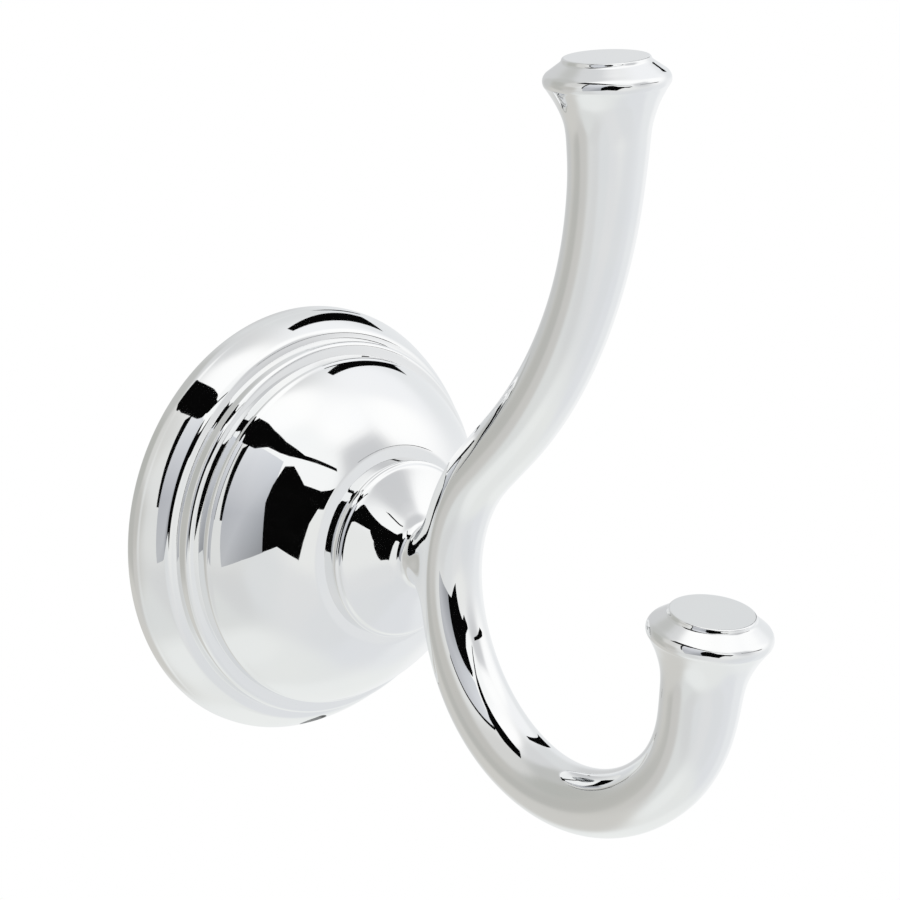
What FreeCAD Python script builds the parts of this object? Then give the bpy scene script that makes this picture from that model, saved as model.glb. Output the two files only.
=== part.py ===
# Double robe hook: a stepped bell against the wall carries one cast hook with two flared arms.
# Millimetres. The wall is the plane Y = 0, the hook reaches out towards -Y, and +Z is up.
# The origin is the middle of the bell's back rim. The hook lies in the plane X = 0.
import FreeCAD, Part
import math
import os
import Sketcher
from FreeCAD import Placement, Rotation, Vector

document = FreeCAD.newDocument("RobeHook")
sheet = document.addObject("Spreadsheet::Sheet", "Sizes")


class Size:
    """A number together with the sheet expression that gives it."""

    def __init__(self, number, text):
        self.number = float(number)
        self.text = text

    def __add__(self, other):
        other = as_size(other)
        return Size(self.number + other.number, "(%s + %s)" % (self.text, other.text))

    def __sub__(self, other):
        other = as_size(other)
        return Size(self.number - other.number, "(%s - %s)" % (self.text, other.text))

    def __mul__(self, other):
        other = as_size(other)
        return Size(self.number * other.number, "(%s * %s)" % (self.text, other.text))

    def __truediv__(self, other):
        other = as_size(other)
        return Size(self.number / other.number, "(%s / %s)" % (self.text, other.text))

    def __neg__(self):
        return Size(-self.number, "(0 - %s)" % self.text)


def as_size(value):
    if isinstance(value, Size):
        return value
    return Size(value, "%.12g" % value)


def sine(angle):
    return Size(math.sin(math.radians(angle.number)), "sin(%s)" % angle.text)


def cosine(angle):
    return Size(math.cos(math.radians(angle.number)), "cos(%s)" % angle.text)


def root(value):
    return Size(math.sqrt(value.number), "sqrt(%s)" % value.text)


circle_ratio = Size(math.pi, "pi")
half_turn = as_size(180)
full_turn = 360
hexagon_half_angle = as_size(30)
sheet_row = 0


def size(name, number):
    """Write one driving dimension into the sheet and hand back its Size."""
    global sheet_row
    sheet_row += 1
    sheet.set("A%d" % sheet_row, name)
    sheet.set("B%d" % sheet_row, "%.6g" % number)
    sheet.setAlias("B%d" % sheet_row, name)
    return Size(number, "Sizes.%s" % name)


# Bell: radii are taken from its axis, heights from the wall
bell_radius = size("bell_radius", 32.1)
bell_side = size("bell_side", 1.0)
bell_shoulder_drop = size("bell_shoulder_drop", 0.2)
bell_shoulder_rise = size("bell_shoulder_rise", 0.6)
bell_shoulder_curve = size("bell_shoulder_curve", 1.2)
bead_curve = size("bead_curve", 40.0)
step_radius = size("step_radius", 28.3)
step_foot = size("step_foot", 7.45)
step_wall = size("step_wall", 1.2)
step_round = size("step_round", 0.8)
dome_radius = size("dome_radius", 26.3)
dome_foot = size("dome_foot", 9.55)
dome_wall = size("dome_wall", 1.5)
dome_edge_drop = size("dome_edge_drop", 0.3)
dome_edge_rise = size("dome_edge_rise", 0.7)
dome_edge_curve = size("dome_edge_curve", 1.1)
dome_curve = size("dome_curve", 22.0)
seat_radius = size("seat_radius", 13.9)
seat_height = size("seat_height", 23.0)
bell_wall = size("bell_wall", 2.3)
bell_web = size("bell_web", 3.2)
inner_ledge_slope = size("inner_ledge_slope", 1.15)

# Spigot that keeps the hook from turning in the bell
spigot_radius = size("spigot_radius", 5.0)
spigot_flats = size("spigot_flats", 8.0)
spigot_length = size("spigot_length", 2.6)
slide_clearance = size("slide_clearance", 0.15)

# Collar, cap and stem of the hook
collar_radius = size("collar_radius", 13.4)
collar_height = size("collar_height", 2.7)
collar_round = size("collar_round", 0.6)
cap_radius = size("cap_radius", 6.0)
cap_height = size("cap_height", 30.8)
cap_curve = size("cap_curve", 16.0)
stem_radius = size("stem_radius", 4.3)
stem_flare = size("stem_flare", 2.1)
stem_flare_curve = size("stem_flare_curve", 2.6)

# Centreline of the bar. An angle is how far it leans out from upright, and a negative one leans in.
neck_reach = size("neck_reach", 36.23)
neck_drop = size("neck_drop", 1.62)
neck_bend = size("neck_bend", 24.0)
run_angle = size("run_angle", 46.9)
run_length = size("run_length", 7.45)
upper_bend = size("upper_bend", 68.4)
upper_head_angle = size("upper_head_angle", -3.2)
upper_rise = size("upper_rise", 3.55)

# The lower arm curls round three arcs. Their angles are counted on from the neck.
lower_bend = size("lower_bend", 28.4)
lower_bottom_angle = size("lower_bottom_angle", 90.0)
lower_far_bend = size("lower_far_bend", 30.3)
lower_far_angle = size("lower_far_angle", 130.0)
lower_end_bend = size("lower_end_bend", 20.5)
lower_end_angle = size("lower_end_angle", 169.2)
lower_rise = size("lower_rise", 12.2)

# Thickness of the bar, as radii of its round section
neck_bar = size("neck_bar", 4.57)
run_bar_start = size("run_bar_start", 4.7)
run_bar_end = size("run_bar_end", 4.82)
upper_bar_middle = size("upper_bar_middle", 5.06)
upper_middle_angle = size("upper_middle_angle", 22.0)
upper_bar_far = size("upper_bar_far", 5.58)
upper_far_angle = size("upper_far_angle", 7.5)
upper_bar_end = size("upper_bar_end", 6.02)
lower_bar_start = size("lower_bar_start", 4.93)
lower_start_angle = size("lower_start_angle", 45.0)
lower_bar_bottom = size("lower_bar_bottom", 5.02)
lower_bar_far = size("lower_bar_far", 5.3)
lower_bar_end = size("lower_bar_end", 6.05)

# Flared heads at both ends: drops and rises are counted from the widest place
head_radius = size("head_radius", 9.35)
flare_length = size("flare_length", 9.5)
flare_first_drop = size("flare_first_drop", 6.5)
flare_second_drop = size("flare_second_drop", 4.1)
flare_third_drop = size("flare_third_drop", 2.4)
rim_drop = size("rim_drop", 1.0)
rim_under_inset = size("rim_under_inset", 0.43)
rim_rise = size("rim_rise", 1.2)
rim_over_inset = size("rim_over_inset", 0.56)
rim_curve = size("rim_curve", 1.5)
slope_radius = size("slope_radius", 6.83)
slope_rise = size("slope_rise", 2.62)
slope_curve = size("slope_curve", 0.87)
face_edge_radius = size("face_edge_radius", 6.5)
face_edge_rise = size("face_edge_rise", 3.12)
face_edge_curve = size("face_edge_curve", 0.35)
face_radius = size("face_radius", 6.16)
face_rise = size("face_rise", 3.4)

# Dovetail plate that is screwed to the wall inside the bell
plate_radius = size("plate_radius", 21.5)
plate_bevel_width = size("plate_bevel_width", 2.0)
plate_height = size("plate_height", 5.5)
plate_web = size("plate_web", 2.6)
plate_rim = size("plate_rim", 3.4)
dish_draft = size("dish_draft", 0.4)
wall_screw_spacing = size("wall_screw_spacing", 28.0)
wall_screw_hole = size("wall_screw_hole", 2.3)
wall_screw_sink = size("wall_screw_sink", 4.4)
plate_fit = size("plate_fit", 0.25)
lug_width = size("lug_width", 10.0)
lug_height = size("lug_height", 2.6)
lug_start = size("lug_start", 0.5)
lug_root_depth = size("lug_root_depth", 0.6)

# Grub screw under the bell, in its boss
grub_height = size("grub_height", 4.3)
grub_radius = size("grub_radius", 2.0)
grub_length = size("grub_length", 6.0)
grub_point = size("grub_point", 1.7)
grub_chamfer = size("grub_chamfer", 0.3)
grub_tip_gap = size("grub_tip_gap", 0.1)
grub_hex = size("grub_hex", 2.0)
grub_hex_depth = size("grub_hex_depth", 2.2)
thread_clearance = size("thread_clearance", 0.05)
boss_width = size("boss_width", 7.6)
boss_start = size("boss_start", 0.5)
boss_front = size("boss_front", 8.1)
boss_gap = size("boss_gap", 0.9)

# Screw and washers that draw the hook onto the bell
clamp_radius = size("clamp_radius", 2.5)
clamp_length = size("clamp_length", 12.0)
clamp_tip = size("clamp_tip", 0.5)
clamp_head_radius = size("clamp_head_radius", 4.6)
clamp_head_height = size("clamp_head_height", 3.4)
clamp_head_round = size("clamp_head_round", 1.6)
clamp_slot_width = size("clamp_slot_width", 1.3)
clamp_slot_depth = size("clamp_slot_depth", 1.6)
clamp_bore_spare = size("clamp_bore_spare", 1.5)
clamp_bore_point = size("clamp_bore_point", 1.3)
washer_radius = size("washer_radius", 7.5)
washer_height = size("washer_height", 1.2)
washer_bore = size("washer_bore", 2.75)
spring_radius = size("spring_radius", 4.4)
spring_height = size("spring_height", 1.3)
spring_slit = size("spring_slit", 0.8)

document.recompute()


def plane(body, role):
    """One of the body's own origin planes."""
    for feature in body.Origin.OriginFeatures:
        if feature.Role == role:
            return feature


def new_body(label):
    body = document.addObject("PartDesign::Body", label)
    body.Label = label
    return body


def new_sketch(body, name, role, offset=None, turn=None, about=Vector(1, 0, 0)):
    """Sketch on an origin plane, moved by three Sizes and turned about one of its own axes."""
    sketch = body.newObject("Sketcher::SketchObject", name)
    sketch.AttachmentSupport = [(plane(body, role), "")]
    sketch.MapMode = "FlatFace"
    if offset or turn:
        place = [as_size(value) for value in (offset or (0, 0, 0))]
        angle = as_size(turn or 0)
        base = Vector(*[value.number for value in place])
        sketch.AttachmentOffset = Placement(base, Rotation(about, angle.number))
        for axis, value in zip("xyz", place):
            sketch.setExpression("AttachmentOffset.Base.%s" % axis, value.text)
        if turn:
            sketch.setExpression("AttachmentOffset.Rotation.Angle", angle.text)
    return sketch


def bind(sketch, kind, place, value):
    """Add one dimension to a sketch and tie it to the sheet."""
    value = as_size(value)
    index = sketch.addConstraint(Sketcher.Constraint(kind, *place, value.number))
    sketch.setExpression("Constraints[%d]" % index, value.text)


def flat(point):
    return Vector(as_size(point[0]).number, as_size(point[1]).number, 0)


def arc_through(start, end, radius, left):
    """Arc from start to end whose middle lies to the left or right of the chord."""
    chord = end - start
    half = chord.Length / 2
    sagitta = radius - math.sqrt(radius ** 2 - half ** 2)
    side = Vector(-chord.y, chord.x, 0).normalize()
    if not left:
        side = side * -1
    return Part.Arc(start, start + chord * 0.5 + side * sagitta, end)


def outline(sketch, corners, closed=True):
    """Draw lines and arcs from corner to corner.

    A corner is (across, up) after a straight side, or (across, up, radius, side) after an arc
    that bulges to that side, left or right, of the way from the corner before it.
    """
    count = len(corners)
    first = 0 if closed else 1
    ends = []
    for index in range(first, count):
        start = flat(corners[index - 1])
        end = flat(corners[index])
        if len(corners[index]) == 2:
            geometry = sketch.addGeometry(Part.LineSegment(start, end), False)
            ends.append((geometry, 1, 2))
            continue
        radius = as_size(corners[index][2])
        arc = arc_through(start, end, radius.number, corners[index][3] == "left")
        geometry = sketch.addGeometry(arc, False)
        first_gap = (sketch.getPoint(geometry, 1) - start).Length
        second_gap = (sketch.getPoint(geometry, 2) - start).Length
        ends.append((geometry, 1, 2) if first_gap < second_gap else (geometry, 2, 1))
        bind(sketch, "Radius", (geometry,), radius)
    for number, (geometry, begin, finish) in enumerate(ends):
        corner = corners[first + number]
        bind(sketch, "DistanceX", (geometry, finish), corner[0])
        bind(sketch, "DistanceY", (geometry, finish), corner[1])
        if number + 1 < len(ends) or closed:
            following, its_begin, _ = ends[(number + 1) % len(ends)]
            meeting = Sketcher.Constraint("Coincident", geometry, finish, following, its_begin)
            sketch.addConstraint(meeting)
    if not closed:
        bind(sketch, "DistanceX", (ends[0][0], ends[0][1]), corners[0][0])
        bind(sketch, "DistanceY", (ends[0][0], ends[0][1]), corners[0][1])


def circle(sketch, radius, across=0, up=0):
    centre = flat((across, up))
    geometry = sketch.addGeometry(Part.Circle(centre, Vector(0, 0, 1), as_size(radius).number), False)
    bind(sketch, "Radius", (geometry,), radius)
    bind(sketch, "DistanceX", (geometry, 3), across)
    bind(sketch, "DistanceY", (geometry, 3), up)


def feature(body, kind, name, sketch):
    made = body.newObject("PartDesign::" + kind, name)
    made.Profile = sketch
    sketch.Visibility = False
    return made


def turned(body, kind, name, sketch, axis="H_Axis"):
    """Revolution or groove of a sketch about its own axis."""
    made = feature(body, kind, name, sketch)
    made.ReferenceAxis = (sketch, [axis])
    made.Angle = full_turn
    return made


def bind_feature(made, key, value):
    value = as_size(value)
    setattr(made, key, value.number)
    made.setExpression(key, value.text)


# Heights and radii that several pieces share
bead_start_radius = bell_radius - bell_shoulder_drop
bead_start = bell_side + bell_shoulder_rise
step_top = step_foot + step_wall
dome_edge = dome_foot + dome_wall
dome_start = dome_edge + dome_edge_rise
dome_start_radius = dome_radius - dome_edge_drop
web_back = seat_height - bell_web
plate_edge_radius = plate_radius + plate_bevel_width
bevel_per_height = plate_bevel_width / plate_height
grub_tip_radius = grub_radius - grub_point
grub_tip = plate_radius + bevel_per_height * (grub_height + grub_tip_radius) + grub_tip_gap
grub_end = grub_tip + grub_length
boss_end = plate_edge_radius + boss_gap
washer_back = web_back - washer_height
clamp_seat = washer_back - spring_height
clamp_end = clamp_seat + clamp_length


def on_arc(start, bend, first, last):
    """Where an arc of that radius ends that leaves start at one lean and ends at another.

    A place is (reach, height, lean). The arc turns towards the wall if the lean grows smaller.
    """
    reach = start[0] + bend * (cosine(first) - cosine(last))
    return reach, start[1] + bend * (sine(last) - sine(first)), last


def on_upper_bend(lean):
    """Place on the upper arm's long bend, which turns back towards the wall."""
    return on_arc(run_end, -upper_bend, run_angle, lean)


def on_lower_bend(start, bend, first, last):
    """Place on one of the lower arm's bends, between two angles counted on from the neck."""
    reach = start[0] + bend * (cosine(first) - cosine(last))
    return reach, start[1] + bend * (sine(first) - sine(last)), -last


def further(place, length):
    """Place that lies so far on along a straight stretch."""
    reach, up, lean = place
    return reach + length * sine(lean), up + length * cosine(lean), lean


# Places along the bar's centreline, each as its distance from the wall, its height and its lean
neck = (neck_reach, -neck_drop, as_size(0))
run_start = on_arc(neck, neck_bend, as_size(0), run_angle)
run_end = further(run_start, run_length)
upper_end = on_upper_bend(upper_head_angle)
upper_rim = further(upper_end, upper_rise)
lower_bottom = on_lower_bend(neck, lower_bend, as_size(0), lower_bottom_angle)
lower_far = on_lower_bend(lower_bottom, lower_far_bend, lower_bottom_angle, lower_far_angle)
lower_end = on_lower_bend(lower_far, lower_end_bend, lower_far_angle, lower_end_angle)
lower_rim = further(lower_end, -lower_rise)


def double_flats(sketch, radius, half_flats):
    """Round outline with a flat above and a flat below."""
    half_width = root(radius * radius - half_flats * half_flats)
    outline(sketch, [
        (-half_width, half_flats, radius, "left"),
        (half_width, half_flats),
        (half_width, -half_flats, radius, "left"),
        (-half_width, -half_flats),
    ])


def make_bell():
    """Hollow stepped bell with the seat for the hook, a lug at the top and the grub screw's boss."""
    bell = new_body("flange_bell")
    inner_side = bell_radius - bell_wall
    inner_bead = step_radius - bell_wall
    inner_dome = dome_radius - bell_wall
    inner_ledge = step_foot - bell_wall
    section = new_sketch(bell, "bell_section", "YZ_Plane")
    outline(section, [
        (0, inner_side),
        (0, bell_radius),
        (-bell_side, bell_radius),
        (-bead_start, bead_start_radius, bell_shoulder_curve, "right"),
        (-step_foot, step_radius, bead_curve, "right"),
        (-step_top, step_radius),
        (-(step_top + step_round), step_radius - step_round, step_round, "right"),
        (-dome_foot, dome_radius),
        (-dome_edge, dome_radius),
        (-dome_start, dome_start_radius, dome_edge_curve, "right"),
        (-seat_height, seat_radius, dome_curve, "right"),
        (-seat_height, 0),
        (-web_back, 0),
        (-web_back, seat_radius - bell_wall),
        (-dome_start, inner_dome, dome_curve - bell_wall, "left"),
        (-(inner_ledge + inner_ledge_slope), inner_dome),
        (-inner_ledge, inner_bead),
        (-bell_side, inner_side),
    ])
    turned(bell, "Revolution", "bell_shell", section)

    boss = new_sketch(bell, "boss_section", "YZ_Plane")
    outline(boss, [
        (-boss_start, -boss_end),
        (-boss_front, -boss_end),
        (-boss_front, -(step_radius - bell_wall / 2)),
        (-step_foot, -(step_radius - bell_wall / 2)),
        (-bell_side, -(bell_radius - bell_wall / 2)),
        (-boss_start, -(bell_radius - bell_wall / 2)),
    ])
    made = feature(bell, "Pad", "grub_boss", boss)
    made.SideType = "Symmetric"
    bind_feature(made, "Length", boss_width)

    lug_end = lug_start + lug_height
    lug_root = inner_side + lug_root_depth
    lug = new_sketch(bell, "lug_section", "YZ_Plane")
    outline(lug, [
        (-lug_start, plate_radius + bevel_per_height * lug_start + plate_fit),
        (-lug_start, lug_root),
        (-lug_end, lug_root),
        (-lug_end, plate_radius + bevel_per_height * lug_end + plate_fit),
    ])
    made = feature(bell, "Pad", "dovetail_lug", lug)
    made.SideType = "Symmetric"
    bind_feature(made, "Length", lug_width)

    opening = new_sketch(bell, "spigot_opening", "XZ_Plane", (0, 0, seat_height))
    double_flats(opening, spigot_radius + slide_clearance, spigot_flats / 2 + slide_clearance)
    made = feature(bell, "Pocket", "spigot_slot", opening)
    bind_feature(made, "Length", bell_web)

    hole = new_sketch(bell, "grub_circle", "XY_Plane")
    circle(hole, grub_radius + thread_clearance, 0, -grub_height)
    made = feature(bell, "Pocket", "grub_hole", hole)
    made.Type = "ThroughAll"
    return bell


def bar_section(hook, name, radius, place):
    """Round section of the bar, square to its centreline."""
    reach, up, lean = place
    sketch = new_sketch(hook, name, "XY_Plane", (0, -reach, up), lean)
    circle(sketch, radius)
    return sketch


def turn_along(length, bend):
    """Angle that a length takes up on an arc."""
    return length / bend * half_turn / circle_ratio


def below_upper_rim(drop):
    """Place on the upper arm so far below its head's widest place."""
    if drop.number <= upper_rise.number:
        return further(upper_rim, -drop)
    return on_upper_bend(upper_head_angle + turn_along(drop - upper_rise, upper_bend))


def below_lower_rim(drop):
    """Place on the lower arm so far below its head's widest place."""
    if drop.number <= lower_rise.number:
        return further(lower_rim, drop)
    angle = lower_end_angle - turn_along(drop - lower_rise, lower_end_bend)
    return on_lower_bend(lower_far, lower_end_bend, lower_far_angle, angle)


def flare_sections(hook, name, bar_radius, below_rim):
    """Sections of a head's hollow flare, from under the rim down to the plain bar."""
    growth = head_radius - rim_under_inset - bar_radius
    drops = (rim_drop, flare_third_drop, flare_second_drop, flare_first_drop, flare_length)
    sections = []
    for number, drop in enumerate(drops):
        share = (flare_length - drop) / (flare_length - rim_drop)
        radius = bar_radius + growth * share * share
        sections.append(bar_section(hook, "%s_%d" % (name, number + 1), radius, below_rim(drop)))
    return sections


def add_head(hook, name, place, lean):
    """Rounded rim, slope and flat face on top of a flare."""
    section = new_sketch(hook, name + "_section", "YZ_Plane", (-place[0], place[1], 0), lean, Vector(0, 0, 1))
    outline(section, [
        (0, -rim_drop),
        (head_radius - rim_under_inset, -rim_drop),
        (head_radius - rim_over_inset, rim_rise, rim_curve, "right"),
        (slope_radius, slope_rise),
        (face_edge_radius, face_edge_rise, slope_curve, "left"),
        (face_radius, face_rise, face_edge_curve, "right"),
        (0, face_rise),
    ])
    turned(hook, "Revolution", name, section, "V_Axis")


def make_hook():
    """One casting: spigot, collar, cap and stem, and the bar that ends in two flared heads."""
    hook = new_body("hook_arm")
    collar_front = seat_height + collar_height
    section = new_sketch(hook, "neck_section", "YZ_Plane")
    outline(section, [
        (-seat_height, 0),
        (-seat_height, collar_radius),
        (-collar_front, collar_radius),
        (-(collar_front + collar_round), collar_radius - collar_round, collar_round, "right"),
        (-cap_height, cap_radius, cap_curve, "right"),
        (-(cap_height + stem_flare), stem_radius, stem_flare_curve, "left"),
        (-neck_reach, stem_radius),
        (-neck_reach, 0),
    ])
    turned(hook, "Revolution", "neck", section)

    upper_start = below_upper_rim(rim_drop)
    lower_start = below_lower_rim(rim_drop)
    lower_middle = on_lower_bend(neck, lower_bend, as_size(0), lower_start_angle)
    route = new_sketch(hook, "bar_route", "YZ_Plane")
    outline(route, [
        (-upper_start[0], upper_start[1]),
        (-upper_end[0], upper_end[1]),
        (-run_end[0], run_end[1], upper_bend, "right"),
        (-run_start[0], run_start[1]),
        (-neck[0], neck[1], neck_bend, "left"),
        (-lower_bottom[0], lower_bottom[1], lower_bend, "left"),
        (-lower_far[0], lower_far[1], lower_far_bend, "left"),
        (-lower_end[0], lower_end[1], lower_end_bend, "left"),
        (-lower_start[0], lower_start[1]),
    ], closed=False)
    sections = flare_sections(hook, "upper_flare", upper_bar_end, below_upper_rim)
    sections += [
        bar_section(hook, "section_upper_far", upper_bar_far, on_upper_bend(upper_far_angle)),
        bar_section(hook, "section_upper_middle", upper_bar_middle, on_upper_bend(upper_middle_angle)),
        bar_section(hook, "section_run_end", run_bar_end, run_end),
        bar_section(hook, "section_run_start", run_bar_start, run_start),
        bar_section(hook, "section_neck", neck_bar, neck),
        bar_section(hook, "section_lower_start", lower_bar_start, lower_middle),
        bar_section(hook, "section_lower_bottom", lower_bar_bottom, lower_bottom),
        bar_section(hook, "section_lower_far", lower_bar_far, lower_far),
    ]
    sections += reversed(flare_sections(hook, "lower_flare", lower_bar_end, below_lower_rim))
    bar = feature(hook, "AdditivePipe", "bar", sections[0])
    bar.Spine = (route, [])
    bar.Sections = sections[1:]
    bar.Transformation = "Multisection"
    bar.Mode = "Standard"

    add_head(hook, "upper_head", upper_rim, upper_head_angle)
    add_head(hook, "lower_head", lower_rim, half_turn - lower_end_angle)

    spigot = new_sketch(hook, "spigot_outline", "XZ_Plane", (0, 0, seat_height))
    double_flats(spigot, spigot_radius, spigot_flats / 2)
    made = feature(hook, "Pad", "spigot", spigot)
    made.Reversed = True
    bind_feature(made, "Length", spigot_length)

    bore_radius = clamp_radius + thread_clearance
    bore_end = clamp_end + clamp_bore_spare
    bore = new_sketch(hook, "bore_section", "YZ_Plane")
    outline(bore, [
        (spigot_length - seat_height, 0),
        (spigot_length - seat_height, bore_radius),
        (-bore_end, bore_radius),
        (-(bore_end + clamp_bore_point), 0),
    ])
    turned(hook, "Groove", "threaded_bore", bore)
    return hook


def make_plate():
    """Disc that is screwed to the wall; its bevelled rim is what the lug and the grub screw grip."""
    plate = new_body("mounting_plate")
    dish_radius = plate_edge_radius - plate_rim
    section = new_sketch(plate, "plate_section", "YZ_Plane")
    outline(section, [
        (0, 0),
        (0, plate_radius),
        (-plate_height, plate_edge_radius),
        (-plate_height, dish_radius),
        (-plate_web, dish_radius - dish_draft),
        (-plate_web, 0),
    ])
    turned(plate, "Revolution", "plate_disc", section)

    holes = new_sketch(plate, "wall_screw_circles", "XZ_Plane", (0, 0, plate_web))
    circle(holes, wall_screw_hole, -(wall_screw_spacing / 2))
    circle(holes, wall_screw_hole, wall_screw_spacing / 2)
    made = feature(plate, "Pocket", "wall_screw_holes", holes)
    bind_feature(made, "Length", plate_web)

    screw_across = wall_screw_spacing / 2
    sink_back = wall_screw_sink - wall_screw_hole - plate_web
    sinks = new_sketch(plate, "sink_section", "XY_Plane")
    outline(sinks, [
        (screw_across, -plate_web),
        (screw_across + wall_screw_sink, -plate_web),
        (screw_across + wall_screw_hole, sink_back),
        (screw_across, sink_back),
    ])
    back = flat((screw_across, 0))
    front = flat((screw_across, -plate_web))
    axis = sinks.addGeometry(Part.LineSegment(back, front), True)
    bind(sinks, "DistanceX", (axis, 1), screw_across)
    bind(sinks, "DistanceX", (axis, 2), screw_across)
    bind(sinks, "DistanceY", (axis, 1), 0)
    bind(sinks, "DistanceY", (axis, 2), -plate_web)
    sink = turned(plate, "Groove", "wall_screw_sink", sinks, "Axis0")
    pair = plate.newObject("PartDesign::Mirrored", "wall_screw_sinks")
    pair.Originals = [sink]
    pair.MirrorPlane = (plane(plate, "YZ_Plane"), [""])
    plate.Tip = pair
    return plate


def make_grub_screw():
    """Headless screw with a pointed tip and a hexagon socket, upright under the bell's axis."""
    grub = new_body("grub_screw")
    section = new_sketch(grub, "grub_section", "YZ_Plane", (-grub_height, 0, 0))
    outline(section, [
        (0, -grub_tip),
        (grub_tip_radius, -grub_tip),
        (grub_radius, -(grub_tip + grub_point)),
        (grub_radius, grub_chamfer - grub_end),
        (grub_radius - grub_chamfer, -grub_end),
        (0, -grub_end),
    ])
    turned(grub, "Revolution", "grub_shank", section, "V_Axis")

    half = grub_hex / 2
    corner = half / cosine(hexagon_half_angle)
    socket = new_sketch(grub, "socket_hexagon", "XY_Plane", (0, 0, -grub_end))
    outline(socket, [
        (corner, -grub_height),
        (corner / 2, half - grub_height),
        (-(corner / 2), half - grub_height),
        (-corner, -grub_height),
        (-(corner / 2), -(half + grub_height)),
        (corner / 2, -(half + grub_height)),
    ])
    made = feature(grub, "Pocket", "socket", socket)
    made.Reversed = True
    bind_feature(made, "Length", grub_hex_depth)
    return grub


def make_clamp_screw():
    """Slotted pan-head screw on the bell's axis; its tip ends inside the hook's bore."""
    screw = new_body("clamp_screw")
    head_back = clamp_seat - clamp_head_height
    section = new_sketch(screw, "screw_section", "YZ_Plane")
    outline(section, [
        (-clamp_end, 0),
        (-clamp_end, clamp_radius - clamp_tip),
        (clamp_tip - clamp_end, clamp_radius),
        (-clamp_seat, clamp_radius),
        (-clamp_seat, clamp_head_radius),
        (-(head_back + clamp_head_round), clamp_head_radius),
        (-head_back, clamp_head_radius - clamp_head_round, clamp_head_round, "left"),
        (-head_back, 0),
    ])
    turned(screw, "Revolution", "screw_turned", section)

    slot = new_sketch(screw, "slot_outline", "XZ_Plane", (0, 0, head_back))
    outline(slot, [
        (-clamp_head_radius, -(clamp_slot_width / 2)),
        (clamp_head_radius, -(clamp_slot_width / 2)),
        (clamp_head_radius, clamp_slot_width / 2),
        (-clamp_head_radius, clamp_slot_width / 2),
    ])
    made = feature(screw, "Pocket", "driver_slot", slot)
    made.Reversed = True
    bind_feature(made, "Length", clamp_slot_depth)
    return screw


def make_ring(label, radius, back, front):
    """Flat ring on the bell's axis between two heights."""
    ring = new_body(label)
    section = new_sketch(ring, label + "_section", "YZ_Plane")
    outline(section, [
        (-back, washer_bore),
        (-back, radius),
        (-front, radius),
        (-front, washer_bore),
    ])
    turned(ring, "Revolution", label + "_ring", section)
    return ring


def make_spring_washer():
    """Ring of square wire, split on the slant."""
    washer = make_ring("spring_washer", spring_radius, clamp_seat, washer_back)
    slit = new_sketch(washer, "slit_outline", "XY_Plane")
    outline(slit, [
        (-spring_slit, -clamp_seat),
        (0, -clamp_seat),
        (spring_slit, -washer_back),
        (0, -washer_back),
    ])
    made = feature(washer, "Pocket", "slit", slit)
    made.Reversed = True
    bind_feature(made, "Length", spring_radius)
    return washer


bodies = [
    make_bell(),
    make_hook(),
    make_plate(),
    make_grub_screw(),
    make_clamp_screw(),
    make_ring("plain_washer", washer_radius, washer_back, web_back),
    make_spring_washer(),
]
document.recompute()

for thing in document.Objects:
    if "Invalid" in thing.State or "Error" in thing.State:
        raise RuntimeError("%s failed: %s" % (thing.Label, thing.State))
for body in bodies:
    if body.Shape.isNull() or not body.Shape.isValid() or len(body.Shape.Solids) != 1:
        raise RuntimeError("%s has no sound solid" % body.Label)

os.makedirs("parts", exist_ok=True)
for body in bodies:
    body.Shape.exportStep("parts/%s.step" % body.Label)
    print("%s: %.0f cubic millimetres" % (body.Label, body.Shape.Volume))
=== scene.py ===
# %% [markdown]
# A double robe hook in polished chrome. A stepped bell lies against the wall and hides the fixing, and
# one casting stands on it, with an upper arm and a lower arm that both end in a flared head.
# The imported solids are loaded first, as a fixed frame, and every piece made here keeps to them:
# +Z is up, the wall is the plane Y = 0, and the hook reaches out towards -Y.

# %% Load the frame
import math
import bmesh
import bpy
from mathutils import Matrix, Vector


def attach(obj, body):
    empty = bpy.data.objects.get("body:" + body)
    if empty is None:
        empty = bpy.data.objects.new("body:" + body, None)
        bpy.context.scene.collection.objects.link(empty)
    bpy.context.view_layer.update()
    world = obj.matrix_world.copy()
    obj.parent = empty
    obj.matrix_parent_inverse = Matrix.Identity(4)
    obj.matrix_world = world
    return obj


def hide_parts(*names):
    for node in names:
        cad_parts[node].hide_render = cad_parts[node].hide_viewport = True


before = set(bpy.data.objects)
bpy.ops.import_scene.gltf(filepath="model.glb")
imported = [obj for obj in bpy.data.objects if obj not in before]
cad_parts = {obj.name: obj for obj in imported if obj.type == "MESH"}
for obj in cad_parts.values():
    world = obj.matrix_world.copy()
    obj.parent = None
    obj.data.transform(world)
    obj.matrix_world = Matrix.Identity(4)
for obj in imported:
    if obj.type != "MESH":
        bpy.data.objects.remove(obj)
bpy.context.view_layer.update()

print("solids:", sorted(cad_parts))

# %% [markdown]
# Sizes are millimetres, as on a workshop drawing, and one factor turns them to metres. Colours are the
# hex values that a picture shows, and one function turns them to the linear values of a shader.

# %% Units and colours
MM = 0.001


def linear(hex_colour):
    """Linear red, green, blue and alpha of an sRGB hex colour."""
    channels = [int(hex_colour[place:place + 2], 16) / 255 for place in (1, 3, 5)]
    return tuple(c / 12.92 if c <= 0.04045 else ((c + 0.055) / 1.055) ** 2.4 for c in channels) + (1.0,)


# %% [markdown]
# A material is a small network of nodes. One function adds a node, sets its properties, and fills its
# inputs with a value or with what another node puts out.

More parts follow.
